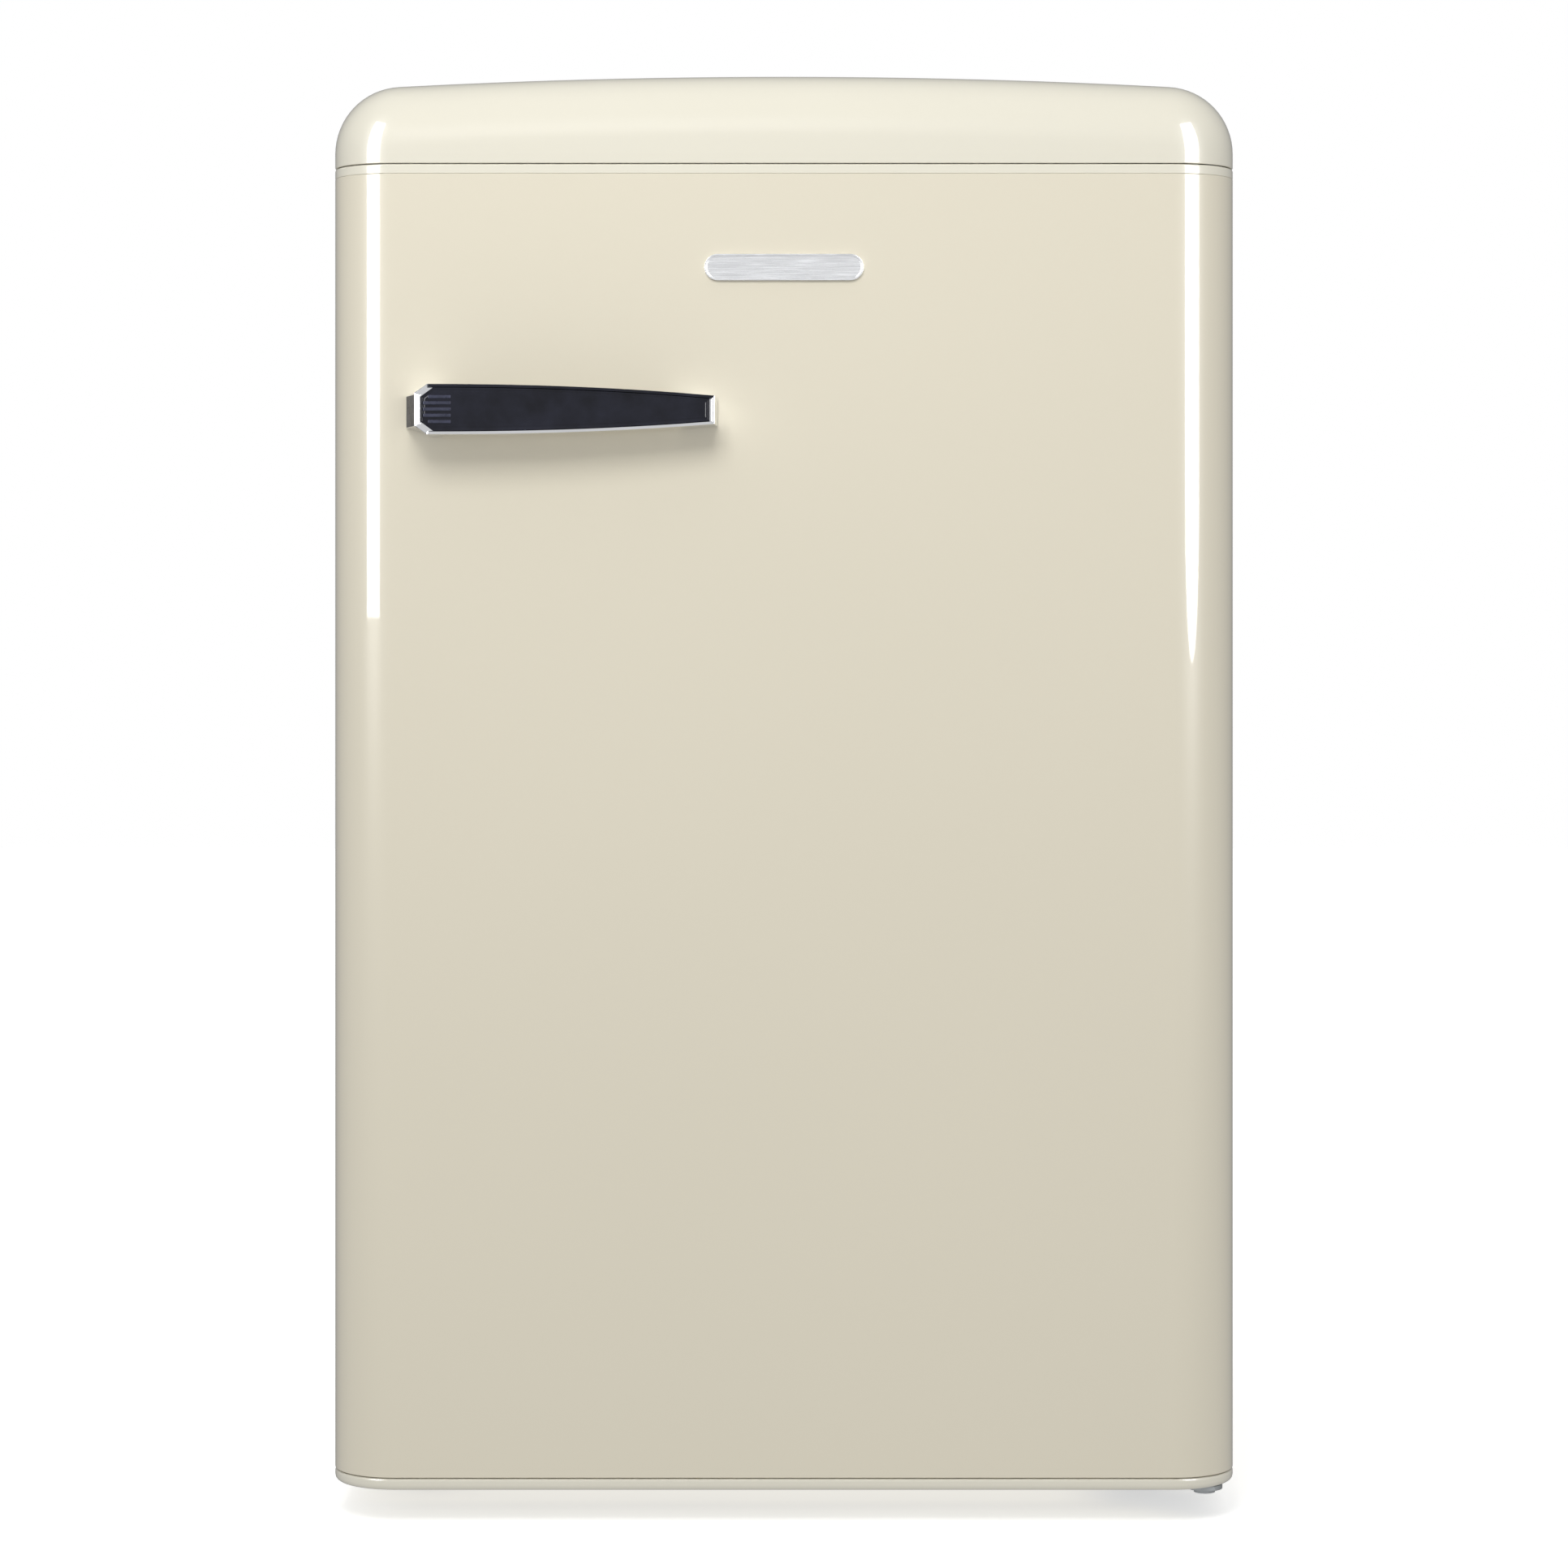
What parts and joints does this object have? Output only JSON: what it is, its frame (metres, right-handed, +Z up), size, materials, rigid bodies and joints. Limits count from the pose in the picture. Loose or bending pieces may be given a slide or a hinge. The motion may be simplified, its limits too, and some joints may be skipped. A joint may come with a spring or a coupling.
{
  "type": "under-counter refrigerator",
  "caption": "Retro-style free-standing under-counter fridge with an arched cap, one rounded glossy door and a short chrome bridge handle.",
  "frame": {"origin": "on the floor, at the centre of the object's footprint box", "axes": "+X to the right seen from the front, +Y to the back, +Z up; the door faces -Y"},
  "size_m": [0.55, 0.615, 0.88],
  "materials": {
    "door_paint": "gloss",
    "cabinet_paint": "gloss",
    "cap_gloss": "gloss",
    "white_plastic": "satin",
    "foam": "matte",
    "zinc_plate": "satin",
    "cold_plate": "satin",
    "shelf_glass": "polished",
    "clear_plastic": "gloss",
    "black_plastic": "matte",
    "black_enamel": "satin",
    "black_rubber": "matte",
    "copper_pipe": "satin",
    "grey_seal": "matte",
    "handle_chrome": "polished",
    "handle_black": "gloss"
  },
  "bodies": {
    "cabinet": {"left_side_panel": "cabinet_paint", "right_side_panel": "cabinet_paint", "top_panel": "cabinet_paint", "base_pan": "cabinet_paint", "back_panel": "zinc_plate", "inner_liner": "white_plastic", "cabinet_insulation": "foam", "evaporator_plate": "cold_plate", "top_cap": "cap_gloss", "cap_underplate": "white_plastic", "upper_hinge_bracket": "zinc_plate", "upper_hinge_pin": "zinc_plate", "lower_hinge_bracket": "zinc_plate", "lower_hinge_pin": "zinc_plate", "shelf_upper_glass": "shelf_glass", "shelf_upper_trim": "white_plastic", "shelf_lower_glass": "shelf_glass", "shelf_lower_trim": "white_plastic", "crisper_cover_glass": "shelf_glass", "crisper_cover_trim": "white_plastic", "control_housing": "white_plastic", "lamp_lens": "clear_plastic", "compressor_rail": "zinc_plate", "compressor_pot": "black_enamel", "compressor_grommet_1": "black_rubber", "compressor_grommet_2": "black_rubber", "compressor_grommet_3": "black_rubber", "compressor_grommet_4": "black_rubber", "relay_cover": "black_plastic", "mains_cord_gland": "black_rubber", "evaporation_tray": "black_plastic", "discharge_pipe": "copper_pipe", "suction_pipe": "copper_pipe", "filter_drier": "copper_pipe", "condenser_grid": "black_enamel", "condenser_bracket_1": "black_plastic", "condenser_bracket_2": "black_plastic", "condenser_bracket_3": "black_plastic", "condenser_bracket_4": "black_plastic", "rear_foot_left": "black_plastic", "rear_foot_right": "black_plastic"},
    "door": {"door_skin": "door_paint", "door_top_endcap": "door_paint", "door_bottom_endcap": "door_paint", "door_insulation": "foam", "door_liner": "white_plastic", "door_gasket": "grey_seal", "upper_hinge_bush": "white_plastic", "lower_hinge_bush": "white_plastic", "handle_body": "handle_chrome", "handle_face": "handle_black", "badge_plate": "handle_chrome"},
    "upper_balcony": {"upper_balcony": "clear_plastic"},
    "middle_balcony": {"middle_balcony": "clear_plastic"},
    "bottle_rack": {"bottle_rack": "clear_plastic"},
    "crisper": {"crisper_drawer": "clear_plastic"},
    "knob": {"thermostat_knob": "white_plastic"},
    "plunger": {"switch_plunger": "white_plastic"},
    "foot_left": {"front_foot_left": "black_plastic"},
    "foot_right": {"front_foot_right": "black_plastic"}
  },
  "joints": [
    {"name": "door_swing", "type": "hinge", "parent": "cabinet", "child": "door", "pos_m": [0.257, -0.238, 0.4], "axis": [0, 0, 1], "range_deg": [0, 120]},
    {"name": "upper_balcony_lift", "type": "slide", "parent": "door", "child": "upper_balcony", "axis": [0, 0, 1], "range_m": [0, 0.018]},
    {"name": "middle_balcony_lift", "type": "slide", "parent": "door", "child": "middle_balcony", "axis": [0, 0, 1], "range_m": [0, 0.018]},
    {"name": "bottle_rack_lift", "type": "slide", "parent": "door", "child": "bottle_rack", "axis": [0, 0, 1], "range_m": [0, 0.018]},
    {"name": "crisper_slide", "type": "slide", "parent": "cabinet", "child": "crisper", "axis": [0, -1, 0], "range_m": [0, 0.12]},
    {"name": "thermostat_turn", "type": "hinge", "parent": "cabinet", "child": "knob", "pos_m": [0.164, -0.1165, 0.734], "axis": [0, 0, -1], "range_deg": [0, 270]},
    {"name": "switch_travel", "type": "slide", "parent": "cabinet", "child": "plunger", "axis": [0, -1, 0], "range_m": [0, 0.005]},
    {"name": "left_foot_turn", "type": "hinge", "parent": "cabinet", "child": "foot_left", "pos_m": [-0.225, -0.1455, 0.01], "axis": [0, 0, 1], "continuous": true},
    {"name": "right_foot_turn", "type": "hinge", "parent": "cabinet", "child": "foot_right", "pos_m": [0.225, -0.1455, 0.01], "axis": [0, 0, 1], "continuous": true}
  ],
  "couplings": [
    {"joint": "switch_travel", "follows": "door_swing", "m_per_rad": 0.002387}
  ]
}
